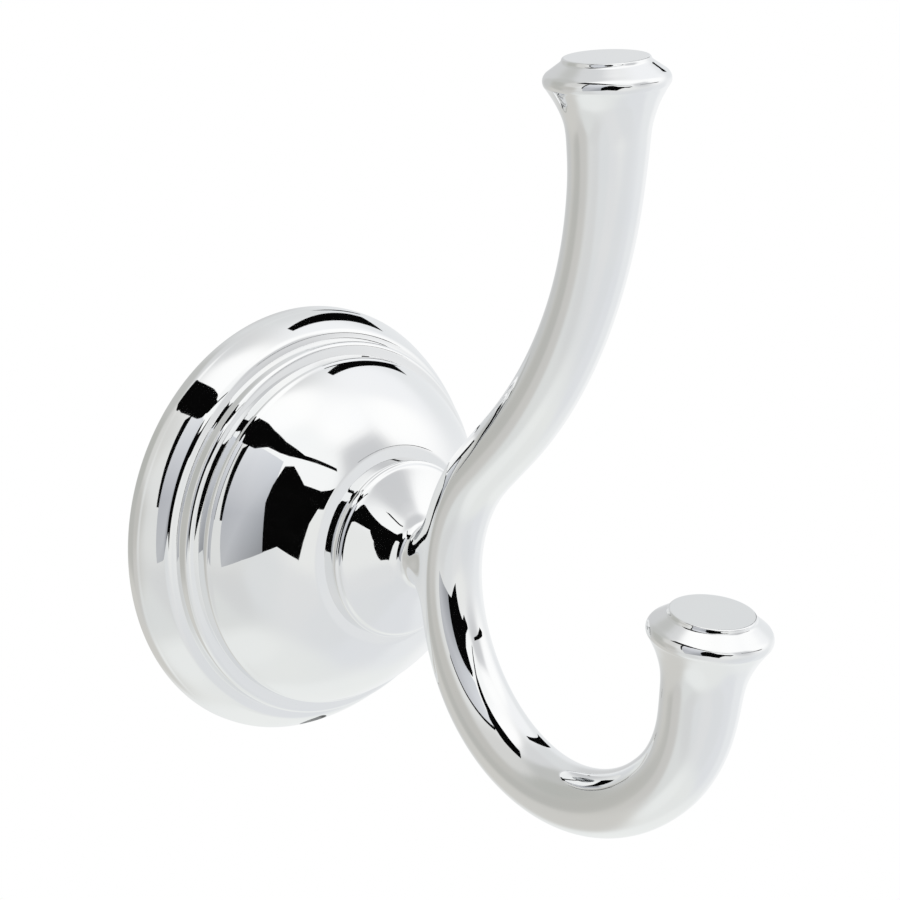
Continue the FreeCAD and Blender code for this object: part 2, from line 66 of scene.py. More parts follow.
# %% One node with its settings and links
def add_node(tree, kind, settings=None, inputs=None):
    node = tree.nodes.new(kind)
    for name, value in (settings or {}).items():
        setattr(node, name, value)
    for key, value in (inputs or {}).items():
        if isinstance(value, bpy.types.NodeSocket):
            tree.links.new(value, node.inputs[key])
        else:
            node.inputs[key].default_value = value
    return node


def new_material(name):
    material = bpy.data.materials.new(name)
    material.use_nodes = True
    material.node_tree.nodes.clear()
    return material, material.node_tree


# %% [markdown]
# Bright chromium plate: a zinc casting is buffed, then plated with nickel and a very thin layer of
# chromium. That gives the eye a mirror with a faint cold tint. The buffing wheel leaves a surface that
# is not quite true, so reflected edges waver a little, and wiping leaves marks too fine to see one by
# one, which only change the sharpness of the mirror from place to place.

# %% Polished chrome
BUFFING_WAVE = 7.0
BUFFING_DEPTH = 0.012
WIPE_MARK = 1.6


def polished_chrome():
    material, tree = new_material("polished_chrome_plate")
    place = add_node(tree, "ShaderNodeTexCoord").outputs["Object"]
    wave = add_node(tree, "ShaderNodeTexNoise", {"noise_dimensions": "3D"},
                    {"Vector": place, "Scale": 1 / (BUFFING_WAVE * MM), "Detail": 1.0, "Roughness": 0.4})
    ripple = add_node(tree, "ShaderNodeBump", None,
                      {"Height": wave.outputs["Fac"], "Strength": 1.0, "Distance": BUFFING_DEPTH * MM})
    stretch = add_node(tree, "ShaderNodeMapping", None, {"Vector": place, "Scale": (1.0, 0.35, 1.0)})
    wipe = add_node(tree, "ShaderNodeTexNoise", {"noise_dimensions": "3D"},
                    {"Vector": stretch.outputs["Vector"], "Scale": 1 / (WIPE_MARK * MM), "Detail": 4.0})
    gloss = add_node(tree, "ShaderNodeMapRange", None,
                     {"Value": wipe.outputs["Fac"], "From Min": 0.3, "From Max": 0.75,
                      "To Min": 0.012, "To Max": 0.045})
    tint = add_node(tree, "ShaderNodeMix", {"data_type": "RGBA"},
                    {"Factor": wave.outputs["Fac"], "A": linear("#F4F5F6"), "B": linear("#F8F8F7")})
    shader = add_node(tree, "ShaderNodeBsdfPrincipled", None,
                      {"Base Color": tint.outputs["Result"], "Metallic": 1.0,
                       "Roughness": gloss.outputs["Result"], "Normal": ripple.outputs["Normal"]})
    add_node(tree, "ShaderNodeOutputMaterial", None, {"Surface": shader.outputs["BSDF"]})
    return material


# %% [markdown]
# Inside, nobody buffs the casting: it keeps the fine grain of the die and a thin dull plate. The
# dovetail plate on the wall has the same skin, without plate.

# %% Cast zinc
DIE_GRAIN = 0.35
FLOW_MARK = 9.0


def cast_zinc(name, light, dark, dullness):
    material, tree = new_material(name)
    place = add_node(tree, "ShaderNodeTexCoord").outputs["Object"]
    grain = add_node(tree, "ShaderNodeTexNoise", None,
                     {"Vector": place, "Scale": 1 / (DIE_GRAIN * MM), "Detail": 3.0})
    flow = add_node(tree, "ShaderNodeTexNoise", None,
                    {"Vector": place, "Scale": 1 / (FLOW_MARK * MM), "Detail": 2.0, "Distortion": 1.2})
    colour = add_node(tree, "ShaderNodeMix", {"data_type": "RGBA"},
                      {"Factor": flow.outputs["Fac"], "A": linear(light), "B": linear(dark)})
    rough = add_node(tree, "ShaderNodeMapRange", None,
                     {"Value": grain.outputs["Fac"], "To Min": dullness - 0.08, "To Max": dullness + 0.12})
    bump = add_node(tree, "ShaderNodeBump", None,
                    {"Height": grain.outputs["Fac"], "Strength": 0.5, "Distance": 0.03 * MM})
    shader = add_node(tree, "ShaderNodeBsdfPrincipled", None,
                      {"Base Color": colour.outputs["Result"], "Metallic": 1.0,
                       "Roughness": rough.outputs["Result"], "Normal": bump.outputs["Normal"]})
    add_node(tree, "ShaderNodeOutputMaterial", None, {"Surface": shader.outputs["BSDF"]})
    return material


# %% [markdown]
# Screws and washers are turned or stamped steel. Turning leaves fine rings round the axis, which a wave
# texture draws: real ones are about 0.05 mm apart, and here they are about 1 mm apart so that they show.

# %% Turned steel
# Millimetres in which the wave turns by one radian
RING_RADIAN = 0.16
# Radians by which Blender's wave texture turns in one unit at a scale of 1
WAVE_TURN = 20


def turned_steel(name, light, dark, axis):
    material, tree = new_material(name)
    place = add_node(tree, "ShaderNodeTexCoord").outputs["Object"]
    rings = add_node(tree, "ShaderNodeTexWave", {"wave_type": "RINGS", "rings_direction": axis},
                     {"Vector": place, "Scale": 1 / (WAVE_TURN * RING_RADIAN * MM), "Distortion": 0.4})
    stain = add_node(tree, "ShaderNodeTexNoise", None,
                     {"Vector": place, "Scale": 1 / (3 * MM), "Detail": 3.0})
    colour = add_node(tree, "ShaderNodeMix", {"data_type": "RGBA"},
                      {"Factor": stain.outputs["Fac"], "A": linear(light), "B": linear(dark)})
    rough = add_node(tree, "ShaderNodeMapRange", None,
                     {"Value": rings.outputs["Fac"], "To Min": 0.22, "To Max": 0.36})
    bump = add_node(tree, "ShaderNodeBump", None,
                    {"Height": rings.outputs["Fac"], "Strength": 0.3, "Distance": 0.01 * MM})
    shader = add_node(tree, "ShaderNodeBsdfPrincipled", None,
                      {"Base Color": colour.outputs["Result"], "Metallic": 1.0,
                       "Roughness": rough.outputs["Result"], "Normal": bump.outputs["Normal"]})
    add_node(tree, "ShaderNodeOutputMaterial", None, {"Surface": shader.outputs["BSDF"]})
    return material


chrome = polished_chrome()
cast_inside = cast_zinc("dull_plate_on_cast_zinc", "#B4B5B5", "#9C9D9E", 0.34)
bare_zinc = cast_zinc("bare_cast_zinc", "#A9AAAB", "#8E9092", 0.46)
plated_steel = turned_steel("bright_zinc_plated_steel", "#C9CBCC", "#B4B7BA", "Y")
stainless = turned_steel("turned_stainless_steel", "#A6A5A2", "#8F8E8B", "Z")

# %% [markdown]
# The bell is turned in form: every section through its axis is the same. So it is one profile, spun
# round the axis. The profile is written as corners and arcs, and each sharp corner is eased by a tenth
# or so, because buffing and plating never leave a true knife edge. That thin rounded line is what
# catches the light along each step.

# %% Profiles of lines and arcs
def arc(start, end, radius, side, steps):
    """Points after start, up to end, of an arc that bulges to the left or right of the way."""
    start, end = Vector(start), Vector(end)
    chord = end - start
    left = Vector((-chord.y, chord.x)).normalized()
    bulge = left if side == "left" else -left
    centre = (start + end) / 2 - bulge * math.sqrt(radius ** 2 - (chord.length / 2) ** 2)
    first = math.atan2(start.y - centre.y, start.x - centre.x)
    last = math.atan2(end.y - centre.y, end.x - centre.x)
    sweep = math.remainder(last - first, math.tau)
    angles = [first + sweep * step / steps for step in range(1, steps + 1)]
    return [centre + Vector((math.cos(angle), math.sin(angle))) * radius for angle in angles]


def eased(before, corner, after, reach, steps=4):
    """A corner replaced by a small curve that leaves and joins its two sides smoothly."""
    start = corner + (before - corner).normalized() * min(reach, (before - corner).length / 2)
    end = corner + (after - corner).normalized() * min(reach, (after - corner).length / 2)
    shares = [step / steps for step in range(steps + 1)]
    return [start * (1 - t) ** 2 + corner * 2 * t * (1 - t) + end * t ** 2 for t in shares]


def closed_profile(pieces):
    """Closed list of points from (end, easing) or (end, easing, radius, side, steps)."""
    points = []
    easings = []
    for piece in pieces:
        if len(piece) == 2:
            points.append(Vector(piece[0]))
        else:
            points += arc(points[-1], piece[0], *piece[2:])
        easings += [0.0] * (len(points) - len(easings) - 1) + [piece[1]]
    outline = []
    for index, point in enumerate(points):
        if easings[index]:
            outline += eased(points[index - 1], point, points[(index + 1) % len(points)], easings[index])
        else:
            outline.append(point)
    return outline


# %% [markdown]
# The bell is listed from the wall outwards. A round rim and a gently curved face make the outer bead,
# which turns quickly at its inner side and ends in a narrow ledge. A straight step and the dome's foot
# follow, then the dome, which rounds off to a flat seat for the hook's collar. Inside, the wall is about
# even, as in most castings, with a thicker web behind the seat.

# %% Sizes of the bell
BELL_RADIUS = 32.1
BELL_SIDE = 1.0
SHOULDER_DROP = 0.3
SHOULDER_RISE = 1.3
SHOULDER_CURVE = 3.0
BEAD_CURVE = 20.0
BEAD_TURN_HEIGHT = 6.0
BEAD_TURN_RADIUS = 30.0
BEAD_TURN_CURVE = 1.6
BEAD_END_HEIGHT = 6.73
BEAD_END_RADIUS = 28.92
LEDGE_HEIGHT = 6.9
STEP_RADIUS = 28.3
STEP_FOOT = 7.45
STEP_WALL = 1.2
STEP_ROUND = 0.8
DOME_RADIUS = 26.3
DOME_FOOT = 9.55
DOME_WALL = 1.5
DOME_EDGE_DROP = 0.3
DOME_EDGE_RISE = 0.7
DOME_EDGE_CURVE = 1.1
DOME_CURVE = 22.0
DOME_END_HEIGHT = 22.86
DOME_END_RADIUS = 15.3
SEAT_CURVE = 1.4
SEAT_RADIUS = 14.7
SEAT_HEIGHT = 23.0
INNER_SEAT_RADIUS = 11.6
BELL_WALL = 2.3
BELL_WEB = 3.2
INNER_LEDGE_SLOPE = 1.15
SPIGOT_RADIUS = 5.0
SPIGOT_FLATS = 8.0
SLIDE_CLEARANCE = 0.15
FINE_EDGE = 0.12
SOFT_EDGE = 0.3
TURNING_STEPS = 256

slot_round = SPIGOT_RADIUS + SLIDE_CLEARANCE
inner_side = BELL_RADIUS - BELL_WALL
inner_step = STEP_RADIUS - BELL_WALL
inner_dome = DOME_RADIUS - BELL_WALL
inner_ledge = STEP_FOOT - BELL_WALL
dome_start = DOME_FOOT + DOME_WALL + DOME_EDGE_RISE
step_top = STEP_FOOT + STEP_WALL
web_back = SEAT_HEIGHT - BELL_WEB

bell_profile = closed_profile([
    ((0, inner_side), FINE_EDGE),
    ((0, BELL_RADIUS), SOFT_EDGE),
    ((-BELL_SIDE, BELL_RADIUS), 0.0),
    ((-(BELL_SIDE + SHOULDER_RISE), BELL_RADIUS - SHOULDER_DROP), 0.0, SHOULDER_CURVE, "right", 10),
    ((-BEAD_TURN_HEIGHT, BEAD_TURN_RADIUS), 0.0, BEAD_CURVE, "right", 24),
    ((-BEAD_END_HEIGHT, BEAD_END_RADIUS), 0.0, BEAD_TURN_CURVE, "right", 14),
    ((-LEDGE_HEIGHT, STEP_RADIUS), FINE_EDGE),
    ((-step_top, STEP_RADIUS), 0.0),
    ((-(step_top + STEP_ROUND), STEP_RADIUS - STEP_ROUND), 0.0, STEP_ROUND, "right", 8),
    ((-DOME_FOOT, DOME_RADIUS), FINE_EDGE),
    ((-(DOME_FOOT + DOME_WALL), DOME_RADIUS), 0.0),
    ((-dome_start, DOME_RADIUS - DOME_EDGE_DROP), 0.0, DOME_EDGE_CURVE, "right", 6),
    ((-DOME_END_HEIGHT, DOME_END_RADIUS), 0.0, DOME_CURVE, "right", 40),
    ((-SEAT_HEIGHT, SEAT_RADIUS), 0.0, SEAT_CURVE, "right", 6),
    ((-SEAT_HEIGHT, slot_round), 0.0),
    ((-web_back, slot_round), 0.0),
    ((-web_back, INNER_SEAT_RADIUS), FINE_EDGE),
    ((-dome_start, inner_dome), 0.0, DOME_CURVE - BELL_WALL, "left", 24),
    ((-(inner_ledge + INNER_LEDGE_SLOPE), inner_dome), FINE_EDGE),
    ((-inner_ledge, inner_step), FINE_EDGE),
    ((-BELL_SIDE, inner_side), FINE_EDGE),
])
print("points in the bell's profile:", len(bell_profile))

# %% [markdown]
# The hole in the bell's web is round with two flats, so that the hook can't turn. While the profile is
# spun, only its two innermost points follow that outline.

# %% Spin the bell
def slot_radius(angle):
    """Distance from the axis to the round hole with a flat above and a flat below."""
    half_flats = SPIGOT_FLATS / 2 + SLIDE_CLEARANCE
    return min(slot_round, half_flats / max(abs(math.sin(angle)), half_flats / slot_round))


def new_object(name, vertices, faces):
    """Mesh object from millimetre points, smooth all over, with its faces turned outwards."""
    mesh = bpy.data.meshes.new(name)
    mesh.from_pydata([tuple(coordinate * MM for coordinate in vertex) for vertex in vertices], [], faces)
    edit = bmesh.new()
    edit.from_mesh(mesh)
    bmesh.ops.recalc_face_normals(edit, faces=edit.faces)
    edit.to_mesh(mesh)
    edit.free()
    mesh.shade_smooth()
    piece = bpy.data.objects.new(name, mesh)
    bpy.context.collection.objects.link(piece)
    return piece


def spun(name, outline, steps):
    vertices = []
    for step in range(steps):
        angle = math.tau * step / steps
        for along, radius in outline:
            reach = slot_radius(angle) if radius <= slot_round else radius
            vertices.append((reach * math.cos(angle), along, reach * math.sin(angle)))
    count = len(outline)
    faces = []
    for step in range(steps):
        here = step * count
        there = (step + 1) % steps * count
        for index in range(count):
            after = (index + 1) % count
            faces.append((here + index, here + after, there + after, there + index))
    return new_object(name, vertices, faces)


bell = spun("stepped_bell", bell_profile, TURNING_STEPS)
print("bell faces:", len(bell.data.polygons))

# %% [markdown]
# Inside the bell, a lug at the top hooks behind the bevelled rim of the dovetail plate, and a block at
# the bottom carries the grub screw. They are cast with the bell, so they are joined to it by a boolean,
# and the grub screw's hole is cut by another.

# %% Join and cut
BOSS_WIDTH = 7.6
BOSS_START = 0.5
BOSS_FRONT = 8.1
BOSS_END = 24.4
LUG_WIDTH = 10.0
LUG_START = 0.5
LUG_FRONT = 3.1
LUG_ROOT_DEPTH = 0.6
PLATE_RADIUS = 21.5
PLATE_BEVEL_WIDTH = 2.0
PLATE_HEIGHT = 5.5
PLATE_FIT = 0.25
GRUB_HEIGHT = 4.3
GRUB_HOLE = 2.05
GRUB_HOLE_TOP = 20.0
GRUB_HOLE_END = 34.0
HOLE_STEPS = 48


def prism(name, outline, half_width):
    """Solid of a (Y, Z) outline, as wide as it is told across X."""
    count = len(outline)
    vertices = [(side * half_width, y, z) for side in (-1, 1) for y, z in outline]
    faces = [tuple(range(count)), tuple(range(2 * count - 1, count - 1, -1))]
    for index in range(count):
        after = (index + 1) % count
        faces.append((index, after, count + after, count + index))
    return new_object(name, vertices, faces)


def upright_rod(name, radius, along, low, high):
    """Round solid about an upright axis."""
    angles = [math.tau * step / HOLE_STEPS for step in range(HOLE_STEPS)]
    vertices = [(radius * math.cos(angle), along + radius * math.sin(angle), height)
                for height in (low, high) for angle in angles]
    faces = [tuple(range(HOLE_STEPS)), tuple(range(HOLE_STEPS, 2 * HOLE_STEPS))]
    for step in range(HOLE_STEPS):
        after = (step + 1) % HOLE_STEPS
        faces.append((step, after, HOLE_STEPS + after, HOLE_STEPS + step))
    return new_object(name, vertices, faces)


def combine(piece, tool, operation):
    """Boolean of a piece with a tool, which is then thrown away."""
    change = piece.modifiers.new(operation, "BOOLEAN")
    change.operation = operation
    change.solver = "EXACT"
    change.object = tool
    bpy.context.view_layer.update()
    shaped = piece.evaluated_get(bpy.context.evaluated_depsgraph_get())
    piece.data = bpy.data.meshes.new_from_object(shaped)
    piece.modifiers.clear()
    bpy.data.objects.remove(tool)


mid_step = STEP_RADIUS - BELL_WALL / 2
mid_side = BELL_RADIUS - BELL_WALL / 2
combine(bell, prism("boss", [
    (-BOSS_START, -BOSS_END), (-BOSS_FRONT, -BOSS_END), (-BOSS_FRONT, -mid_step),
    (-STEP_FOOT, -mid_step), (-BELL_SIDE, -mid_side), (-BOSS_START, -mid_side),
], BOSS_WIDTH / 2), "UNION")
lug_root = inner_side + LUG_ROOT_DEPTH
bevel_per_height = PLATE_BEVEL_WIDTH / PLATE_HEIGHT
tip_back = PLATE_RADIUS + PLATE_FIT + bevel_per_height * LUG_START
tip_front = PLATE_RADIUS + PLATE_FIT + bevel_per_height * LUG_FRONT
combine(bell, prism("lug", [
    (-LUG_START, tip_back), (-LUG_START, lug_root), (-LUG_FRONT, lug_root), (-LUG_FRONT, tip_front),
], LUG_WIDTH / 2), "UNION")
combine(bell, upright_rod("drill", GRUB_HOLE, -GRUB_HEIGHT, -GRUB_HOLE_END, -GRUB_HOLE_TOP), "DIFFERENCE")
print("bell faces with lug, block and hole:", len(bell.data.polygons))

# %% [markdown]
# The outside of the bell is polished and the inside is left as cast, so the faces are sorted: those
# that lie well inside the outer outline take the second material.

# %% Two finishes on one casting
OUTLINE_MARKS = [(0.0, BELL_RADIUS), (BELL_SIDE, BELL_RADIUS), (STEP_FOOT, STEP_RADIUS),
                 (step_top, STEP_RADIUS), (DOME_FOOT, DOME_RADIUS), (DOME_FOOT + DOME_WALL, DOME_RADIUS),
                 (SEAT_HEIGHT, SEAT_RADIUS)]
SKIN_DEPTH = 1.0
SHARP_ANGLE = 32.0


def outline_radius(height):
    for (low, low_radius), (high, high_radius) in zip(OUTLINE_MARKS, OUTLINE_MARKS[1:]):
        if height <= high:
            return low_radius + (high_radius - low_radius) * (height - low) / (high - low)
    return OUTLINE_MARKS[-1][1]


bell.data.materials.clear()
bell.data.materials.append(chrome)
bell.data.materials.append(cast_inside)
for face in bell.data.polygons:
    radius = math.hypot(face.center.x, face.center.z) / MM
    seat = radius < SEAT_RADIUS and face.center.y < -(SEAT_HEIGHT - SKIN_DEPTH) * MM
    outside = radius > outline_radius(-face.center.y / MM) - SKIN_DEPTH or seat
    face.material_index = 0 if outside else 1
bell.data.shade_smooth()
bell.data.set_sharp_from_angle(angle=math.radians(SHARP_ANGLE))
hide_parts("flange_bell")
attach(bell, "root")

# %% [markdown]
# The hook is one casting with no corner anywhere along its arms, and chrome shows every unevenness of
# a surface. So it is made as a coarse cage that a subdivision surface smooths: rings of sixteen points
# follow the bar, twenty-point rings follow the neck, and the two cages share one edge loop on the back
# of the bar. The centreline is a way of bends and straights. Each stretch is a turn in degrees with the
# radius of its bend, or no turn with a length.

# %% Centreline of the bar
NECK_REACH = 36.23
NECK_DROP = 1.62
UPPER_WAY = [(46.9, 24.0), (0.0, 7.45), (-50.1, 68.4), (0.0, 3.55)]
LOWER_WAY = [(-90.0, 28.4), (-40.0, 30.3), (-39.2, 20.5), (0.0, 12.2)]


def stretch_length(turn, amount):
    return abs(math.radians(turn)) * amount if turn else amount


def walk(way, heading, distance):
    """Reach, height and heading after a distance from the neck. Past its end a way goes straight on."""
    reach, height = NECK_REACH, -NECK_DROP
    for turn, amount in way:
        step = min(distance, stretch_length(turn, amount))
        distance -= step
        if turn:
            bend = math.copysign(amount, turn)
            after = heading + step / bend
            reach += bend * (math.cos(heading) - math.cos(after))
            height += bend * (math.sin(after) - math.sin(heading))
            heading = after
        else:
            reach += step * math.sin(heading)
            height += step * math.cos(heading)
    return reach + distance * math.sin(heading), height + distance * math.cos(heading), heading


def route(along):
    """Reach, height and lean of the centreline at a distance from the neck, upwards if positive."""
    if along >= 0:
        return walk(UPPER_WAY, 0.0, along)
    reach, height, heading = walk(LOWER_WAY, math.pi, -along)
    return reach, height, heading - math.pi


upper_rim = sum(stretch_length(*stretch) for stretch in UPPER_WAY)
lower_rim = -sum(stretch_length(*stretch) for stretch in LOWER_WAY)
print("length of the bar between the two rims: %.1f mm" % (upper_rim - lower_rim))

# %% [markdown]
# The bar is thinnest at the neck and swells towards both heads. Its radius is known at a few places
# and runs smoothly between them, on into the hollow flare under each head. A head is a ring profile
# too: a rounded rim, a slope, a narrow hollow and a flat face with a soft edge.

# %% Thickness of the bar and form of the heads
NECK_BAR = 4.57
UPPER_BAR_RADII = [(19.6, 4.7), (27.1, 4.82), (56.8, 5.06), (74.1, 5.58)]
UPPER_BAR_END = 6.02
LOWER_BAR_RADII = [(22.3, 4.93), (44.6, 5.02), (65.8, 5.3)]
LOWER_BAR_END = 6.05
HEAD_RADIUS = 9.35
FLARE_LENGTH = 9.5
FLARE_DROPS = [9.5, 6.5, 4.1, 2.4, 1.0]
RIM_DROP = 1.0
RIM_UNDER_INSET = 0.43
RIM_RISE = 1.2
RIM_OVER_INSET = 0.56
RIM_CURVE = 1.5
SLOPE_RADIUS = 6.83
SLOPE_RISE = 2.62
SLOPE_CURVE = 0.87
FACE_EDGE_RADIUS = 6.5
FACE_EDGE_RISE = 3.12
FACE_EDGE_CURVE = 0.35
FACE_RADIUS = 6.16
FACE_RISE = 3.4


def flare(end_radius):
    """(drop below the rim, radius) at the known places of a hollow flare."""
    growth = HEAD_RADIUS - RIM_UNDER_INSET - end_radius
    shares = [(FLARE_LENGTH - drop) / (FLARE_LENGTH - RIM_DROP) for drop in FLARE_DROPS]
    return [(drop, end_radius + growth * share ** 2) for drop, share in zip(FLARE_DROPS, shares)]


known_radii = [(lower_rim + drop, radius) for drop, radius in reversed(flare(LOWER_BAR_END))]
known_radii += [(-along, radius) for along, radius in reversed(LOWER_BAR_RADII)]
known_radii += [(0.0, NECK_BAR)] + UPPER_BAR_RADII
known_radii += [(upper_rim - drop, radius) for drop, radius in flare(UPPER_BAR_END)]


def bar_radius(along):
    """Radius of the bar, on a smooth curve through the known places."""
    for index in range(len(known_radii) - 1):
        (low, first), (high, last) = known_radii[index:index + 2]
        if along <= high:
            break
    before = known_radii[max(index - 1, 0)]
    after = known_radii[min(index + 2, len(known_radii) - 1)]
    slope_in = (last - before[1]) / (high - before[0])
    slope_out = (after[1] - first) / (after[0] - low)
    span = high - low
    t = (along - low) / span
    return (first * (2 * t ** 3 - 3 * t ** 2 + 1) + last * (3 * t ** 2 - 2 * t ** 3)
            + slope_in * span * (t ** 3 - 2 * t ** 2 + t) + slope_out * span * (t ** 3 - t ** 2))


SLOPE_SHARES = [0.25, 0.5, 0.72, 0.9]
FACE_SHARES = [0.965, 0.91, 0.81, 0.65, 0.44, 0.21]

rim_under = (-RIM_DROP, HEAD_RADIUS - RIM_UNDER_INSET)
rim_over = Vector((RIM_RISE, HEAD_RADIUS - RIM_OVER_INSET))
slope_end = Vector((SLOPE_RISE, SLOPE_RADIUS))
face_edge = (FACE_EDGE_RISE, FACE_EDGE_RADIUS)
head_line = arc(rim_under, rim_over, RIM_CURVE, "left", 6)
head_line += [rim_over.lerp(slope_end, share) for share in SLOPE_SHARES] + [slope_end]
head_line += arc(slope_end, face_edge, SLOPE_CURVE, "right", 3)
head_line += arc(face_edge, (FACE_RISE, FACE_RADIUS), FACE_EDGE_CURVE, "left", 3)
head_line += [Vector((FACE_RISE, FACE_RADIUS * share)) for share in FACE_SHARES]

# %% [markdown]
# The smooth surface lies inside its cage. Round the bar that is one known factor for all points. Along
# the bar the rings are moved step by step, until the smooth surface passes through the places that
# they were given.

# %% Build the cage
BAR_POINTS = 16
NECK_POINTS = 20
HOLE_COLUMNS = 3
HOLE_ROWS = 2
NECK_SPACING = 2.9
BAR_SPACING = 3.0
FLARE_RING_DROPS = [9.6, 8.1, 6.7, 5.4, 4.3, 3.3, 2.5, 1.7, 1.0]
SETTLING_ROUNDS = 30


def ring_factor(points):
    """How much wider than its smooth surface a ring of the cage has to be."""
    return 3 / (2 + math.cos(math.tau / points))


cage_points = []
cage_faces = []


def add_ring(points):
    """Add points to the cage and give back their numbers."""
    first = len(cage_points)
    cage_points.extend(Vector(point) for point in points)
    return list(range(first, len(cage_points)))


def bridge(ring, following):
    """Faces between two closed rings of equally many points."""
    count = len(ring)
    for index in range(count):
        after = (index + 1) % count
        cage_faces.append((ring[index], ring[after], following[after], following[index]))


def settle(rings):
    """Move all rings but the first and last, so that the smooth surface meets where they stood."""
    wanted = [[cage_points[number].copy() for number in ring] for ring in rings]
    for _ in range(SETTLING_ROUNDS):
        for row in range(1, len(rings) - 1):
            for before, here, after, goal in zip(rings[row - 1], rings[row], rings[row + 1], wanted[row]):
                smooth = (cage_points[before] + 4 * cage_points[here] + cage_points[after]) / 6
                cage_points[here] += goal - smooth


def bar_ring(along, radius):
    """Ring round the bar. Its point 0 faces the wall."""
    reach, height, lean = route(along)
    points = []
    for index in range(BAR_POINTS):
        angle = math.tau * index / BAR_POINTS
        back = radius * ring_factor(BAR_POINTS) * math.cos(angle)
        side = radius * ring_factor(BAR_POINTS) * math.sin(angle)
        points.append((side, -(reach - back * math.cos(lean)), height + back * math.sin(lean)))
    return add_ring(points)


def evenly(start, end, spacing):
    """Places from start to end, both left out, about as far apart as spacing."""
    count = max(round(abs(end - start) / spacing), 1)
    return [start + (end - start) * step / count for step in range(1, count)]


hole_places = [NECK_DROP + NECK_SPACING * row for row in range(HOLE_ROWS, -HOLE_ROWS - 1, -1)]
upper_places = [upper_rim - drop for drop in reversed(FLARE_RING_DROPS)]
upper_places += evenly(upper_places[-1], hole_places[0], BAR_SPACING)
lower_places = [lower_rim + drop for drop in FLARE_RING_DROPS]
lower_places = evenly(hole_places[-1], lower_places[0], BAR_SPACING) + lower_places

bar_rings = [bar_ring(upper_rim + rise, radius) for rise, radius in reversed(head_line)]
bar_rings += [bar_ring(place, bar_radius(place)) for place in upper_places]
first_hole = len(bar_rings)
bar_rings += [bar_ring(place, bar_radius(place)) for place in hole_places + lower_places]
bar_rings += [bar_ring(lower_rim - rise, radius) for rise, radius in head_line]
settle(bar_rings)

hole_rows = range(first_hole, first_hole + 2 * HOLE_ROWS)
for row, (ring, following) in enumerate(zip(bar_rings, bar_rings[1:])):
    for column in range(BAR_POINTS):
        after = (column + 1) % BAR_POINTS
        in_columns = column < HOLE_COLUMNS or column >= BAR_POINTS - HOLE_COLUMNS
        if row in hole_rows and in_columns:
            continue
        cage_faces.append((ring[column], ring[after], following[after], following[column]))
cage_faces.append(tuple(bar_rings[0]))
cage_faces.append(tuple(bar_rings[-1]))

# %% [markdown]
# The neck starts at the loop round the gap in the bar's back. Its first rings dip towards the bar in a
# narrow hollow, then open into the cap, turn over a rounded edge, and run down the collar's wall to the
# seat. Behind the seat come the spigot with its two flats and the threaded bore, which the clamp screw
# fills. A pair of rings at a corner, one just before it and one just after, keeps it crisp.

# %% Neck, cap, collar and spigot
COLLAR_RADIUS = 13.4
COLLAR_HEIGHT = 2.7
COLLAR_SPACING = 0.5
COLLAR_ROUND = 0.6
CAP_RADIUS = 6.0
CAP_HEIGHT = 30.0
CAP_CURVE = 40.0
SPIGOT_LENGTH = 2.6
BORE_RADIUS = 2.55
BORE_END = 30.8
BORE_POINT = 1.3
CORNER_HOLD = 0.1
# Height from the wall, radius, and how far the ring's two sides reach out round the bar
HOLLOW_RINGS = [(31.45, 4.7, 1.1), (30.85, 4.75, 0.25), (30.3, 5.15, 0.0)]

top = [(first_hole, column) for column in range(HOLE_COLUMNS + 1)]
right = [(first_hole + row, HOLE_COLUMNS) for row in range(1, 2 * HOLE_ROWS)]
bottom = [(first_hole + 2 * HOLE_ROWS, column) for column in range(HOLE_COLUMNS, -HOLE_COLUMNS - 1, -1)]
left = [(first_hole + row, -HOLE_COLUMNS) for row in range(2 * HOLE_ROWS - 1, 0, -1)]
top_left = [(first_hole, column) for column in range(-HOLE_COLUMNS, 0)]
gap_loop = [bar_rings[row][column % BAR_POINTS] for row, column in top + right + bottom + left + top_left]


def neck_ring(height, radius, side_reach=0.0, half_flats=None):
    """Ring round the neck's axis. side_reach moves its two sides out from the wall."""
    points = []
    for index in range(NECK_POINTS):
        angle = math.tau * (0.25 - index / NECK_POINTS)
        across = radius * ring_factor(NECK_POINTS) * math.cos(angle)
        up = radius * ring_factor(NECK_POINTS) * math.sin(angle)
        if half_flats:
            up = max(-half_flats, min(half_flats, up))
        points.append((across, -(height + side_reach * math.cos(angle) ** 2), up))
    return add_ring(points)


collar_front = SEAT_HEIGHT + COLLAR_HEIGHT
cap_edge = (collar_front + COLLAR_ROUND, COLLAR_RADIUS - COLLAR_ROUND)
spigot_end = SEAT_HEIGHT - SPIGOT_LENGTH
collar_line = [Vector((CAP_HEIGHT, CAP_RADIUS))]
collar_line += arc((CAP_HEIGHT, CAP_RADIUS), cap_edge, CAP_CURVE, "left", 8)
collar_line += arc(cap_edge, (collar_front, COLLAR_RADIUS), COLLAR_ROUND, "left", 3)
collar_line += [(height, COLLAR_RADIUS) for height in evenly(collar_front, SEAT_HEIGHT, COLLAR_SPACING)]
collar_line += [(SEAT_HEIGHT + CORNER_HOLD, COLLAR_RADIUS), (SEAT_HEIGHT, COLLAR_RADIUS - CORNER_HOLD)]
collar_line += [(SEAT_HEIGHT, (COLLAR_RADIUS + SPIGOT_RADIUS) / 2),
                (SEAT_HEIGHT, SPIGOT_RADIUS + 2 * CORNER_HOLD)]
spigot_line = [(SEAT_HEIGHT, SPIGOT_RADIUS + CORNER_HOLD), (SEAT_HEIGHT - CORNER_HOLD, SPIGOT_RADIUS),
               (spigot_end + CORNER_HOLD, SPIGOT_RADIUS), (spigot_end, SPIGOT_RADIUS - CORNER_HOLD)]
